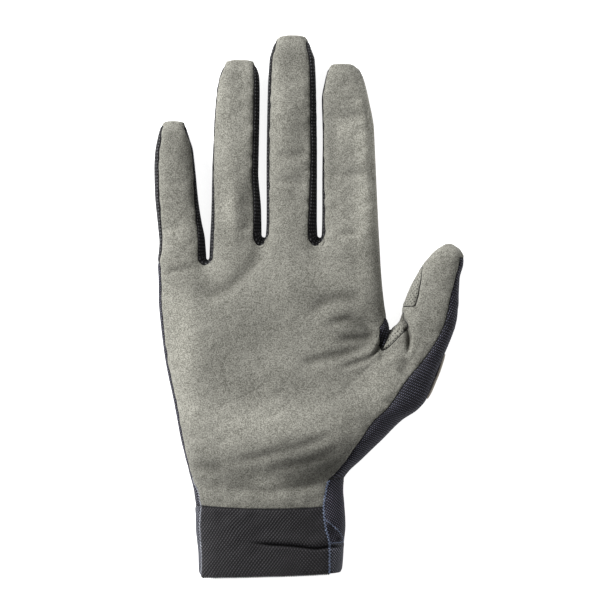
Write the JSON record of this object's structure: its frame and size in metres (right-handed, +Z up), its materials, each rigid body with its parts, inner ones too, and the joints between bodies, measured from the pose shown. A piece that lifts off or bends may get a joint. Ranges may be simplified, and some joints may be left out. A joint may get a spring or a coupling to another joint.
{
  "type": "motocross glove",
  "caption": "Right-hand motocross glove, hollow, with a one-piece suede palm, a mesh back, mesh strips between the fingers, perforated thumb inserts and a knitted elastic cuff",
  "frame": {"origin": "centre of the bounding box in plan, on the surface that the glove lies on", "axes": "+Z up out of the palm, +Y from the cuff to the fingertips, +X towards the thumb"},
  "size_m": [0.1354, 0.2362, 0.0259],
  "materials": {
    "suede": "short brushed synthetic suede, grey, slightly mottled",
    "perforated_suede": "grey synthetic suede with small punched dots",
    "navy_mesh": "fine navy and black mesh knit, matte",
    "black_mesh": "coarse black mesh knit, matte",
    "knit": "black elastic knit in a fine diagonal rib",
    "cuff_mesh": "dark navy knit with lighter blue-grey flecks",
    "patch": "light beige matte synthetic patch"
  },
  "bodies": {
    "root": {"palm": "suede", "back": "navy_mesh", "little_side": "black_mesh", "fourchette_little_ring": "black_mesh", "fourchette_ring_middle": "black_mesh", "fourchette_middle_index": "black_mesh", "thumb_insert_upper": "perforated_suede", "thumb_insert_crotch": "perforated_suede", "wrist_gusset": "navy_mesh", "cuff_front": "knit", "cuff_back": "cuff_mesh", "thumb_back_patch": "patch"}
  },
  "joints": []
}
